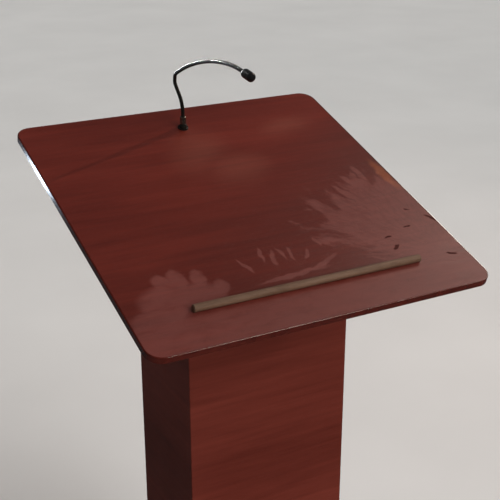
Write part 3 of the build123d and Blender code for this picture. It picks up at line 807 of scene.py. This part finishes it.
def softbox(name, place, target, width, height, power, colour=(1, 1, 1), shines_on=None):
    """A square-cornered soft light; with shines_on it only puts highlights on those pieces."""
    data = bpy.data.lights.new(name, "AREA")
    data.shape = "RECTANGLE"
    data.size = width
    data.size_y = height
    data.energy = power
    data.color = colour
    light = add_light(name, data)
    aim(light, place, target)
    if shines_on:
        light.visible_diffuse = False
        receivers = bpy.data.collections.new(name + "_receivers")
        for piece in shines_on:
            receivers.objects.link(piece)
        light.light_linking.receiver_collection = receivers


def spotlight(name, place, target, cone, power, radius, colour):
    """A narrow light that throws sharp shadows; nothing reflects it."""
    data = bpy.data.lights.new(name, "SPOT")
    data.spot_size = radians(cone)
    data.spot_blend = 1.0
    data.shadow_soft_size = radius
    data.energy = power
    data.color = colour
    light = add_light(name, data)
    light.visible_glossy = False
    aim(light, place, target)


def sunlight(name, direction, spread, strength):
    """An even light over the whole studio, coming from a direction; nothing reflects it."""
    data = bpy.data.lights.new(name, "SUN")
    data.angle = radians(spread)
    data.energy = strength
    light = add_light(name, data)
    light.visible_glossy = False
    aim(light, direction, (0, 0, 0))


# Each sun's name, the direction it comes from, its spread in degrees and its strength.
suns = [
    ("studio_sky", (0.38, -0.68, 0.66), 50, 2.25),
    ("front_sky", (0.22, -1.0, 0.06), 40, 1.75),
    ("back_sky", (0.34, 0.85, 0.40), 60, 1.3),
]
right_softbox_place = (2.5, 0.6, 3.1)
right_softbox_size = 1.1
right_softbox_power = 25
rosy = (1.0, 0.78, 0.68)

# The strip that draws the long highlight on the microphone's neck.
neck_strip_place = (-0.05, 2.7, 1.78)
neck_strip_width, neck_strip_height = 0.05, 1.3
neck_strip_power = 60
neck_middle_above_foot = 0.12

# A small cold light behind and below the left edge, which draws the bright streak on it.
edge_streak_up_slope = 0.48
edge_light_way = 0.9 * Vector((-0.271, 0.913, -0.306))
edge_light_size = 0.07
edge_light_power = 0.8
cold = (0.72, 0.84, 1.0)

# The strips that draw the highlights on the edge band's front and right: name, place across the
# desk in half widths, and direction.
arris_strips = [
    ("front_arris_strip", 0, Vector((0.40, -0.78, 0.43))),
    ("right_arris_strip", 1, Vector((0.82, 0.50, 0.26))),
]
arris_up_slope = 0.12
arris_strip_distance = 2.5
arris_strip_size = 0.7
arris_strip_power = 55
warm = (1.0, 0.9, 0.76)

# The low spot from the right that throws the neck's shadow across the desk.
low_spot_way = 3.2 * Vector((0.924, 0.309, 0.229))
low_spot_target = (-0.12, 0.52)
low_spot_cone = 12.0
low_spot_power = 1050
low_spot_radius = 0.006
amber_white = (1.0, 0.86, 0.78)


def make_lights():
    for name, direction, spread, strength in suns:
        sunlight(name, direction, spread, strength)
    size = right_softbox_size
    desk_middle = on_desk(0, desk_length / 2)
    softbox("right_softbox", right_softbox_place, desk_middle, size, size, right_softbox_power, rosy)

    mic_foot = Vector(joints["neck_swivel"]["pos_m"])
    neck_middle = mic_foot + Vector((0, 0, neck_middle_above_foot))
    nodes = frame["nodes"]
    microphone = neck_tubes + [nodes["capsule_housing"], nodes["capsule_grille"]]
    softbox(
        "neck_strip",
        neck_strip_place,
        neck_middle,
        neck_strip_width,
        neck_strip_height,
        neck_strip_power,
        shines_on=microphone,
    )

    left_edge = on_desk(-desk_width / 2, edge_streak_up_slope)
    size = edge_light_size
    place = left_edge + edge_light_way
    softbox("edge_strip", place, left_edge, size, size, edge_light_power, cold)

    size, power = arris_strip_size, arris_strip_power
    band = [nodes["desk_edge_band"]]
    for name, half_widths, direction in arris_strips:
        arris = on_desk(half_widths * desk_width / 2, arris_up_slope)
        place = arris + arris_strip_distance * direction
        softbox(name, place, arris, size, size, power, warm, shines_on=band)

    place = mic_foot + low_spot_way
    target = on_desk(*low_spot_target)
    spotlight(
        "low_spot",
        place,
        target,
        low_spot_cone,
        low_spot_power,
        low_spot_radius,
        amber_white,
    )


surround_light = 0.07
surround_seen = 0.68


def make_world():
    """A dim even surround; the camera itself sees it pale."""
    world = bpy.data.worlds.new("studio")
    bpy.context.scene.world = world
    world.use_nodes = True
    nodes = world.node_tree.nodes
    links = world.node_tree.links
    background = nodes["Background"]
    paths = nodes.new("ShaderNodeLightPath")
    level = nodes.new("ShaderNodeMapRange")
    level.inputs["To Min"].default_value = surround_light
    level.inputs["To Max"].default_value = surround_seen
    links.new(paths.outputs["Is Camera Ray"], level.inputs["Value"])
    links.new(level.outputs[0], background.inputs["Strength"])
    background.inputs["Color"].default_value = (1.0, 1.0, 1.0, 1.0)
    bpy.context.scene.view_settings.view_transform = "Standard"


make_camera()
finishes = finish_the_frame()
neck_tubes = make_neck(finishes["black_metal"])
make_foam_liner(finishes["foam"])
make_floor()
make_lights()
make_world()
